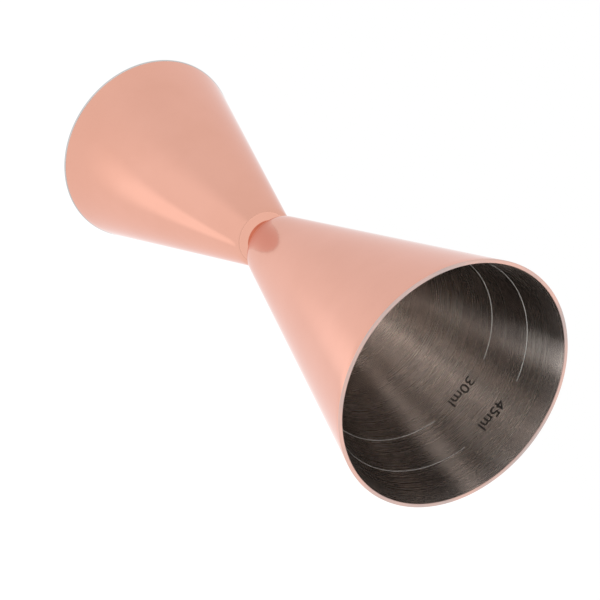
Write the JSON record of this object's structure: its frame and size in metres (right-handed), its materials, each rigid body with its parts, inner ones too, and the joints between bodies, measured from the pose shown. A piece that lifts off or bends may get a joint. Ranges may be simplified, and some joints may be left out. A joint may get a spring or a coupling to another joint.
{
  "type": "bar jigger",
  "caption": "Double-ended conical drinks measure: a large and a small steel cup brazed bottom to bottom, copper-plated outside, with capacity lines inside.",
  "frame": {"origin": "centre of the small cup's mouth, on the plane that the jigger stands on", "axes": "+Z is the cups' common axis, from the small cup to the large one. +Y is the side of the large cup's inner wall where the capacity lines break for their numbers."},
  "size_m": [0.0522, 0.0522, 0.1241],
  "materials": {
    "copper_plated_steel": "polished copper plating on steel outside and over the lip, bare brushed steel inside",
    "bare_steel": "turned, brushed round the axis",
    "braze": "dull",
    "laser_mark": "matt dark oxide, as a laser leaves it"
  },
  "bodies": {
    "root": {"large_cup": "copper_plated_steel", "small_cup": "copper_plated_steel", "neck_braze": "braze"}
  },
  "joints": []
}
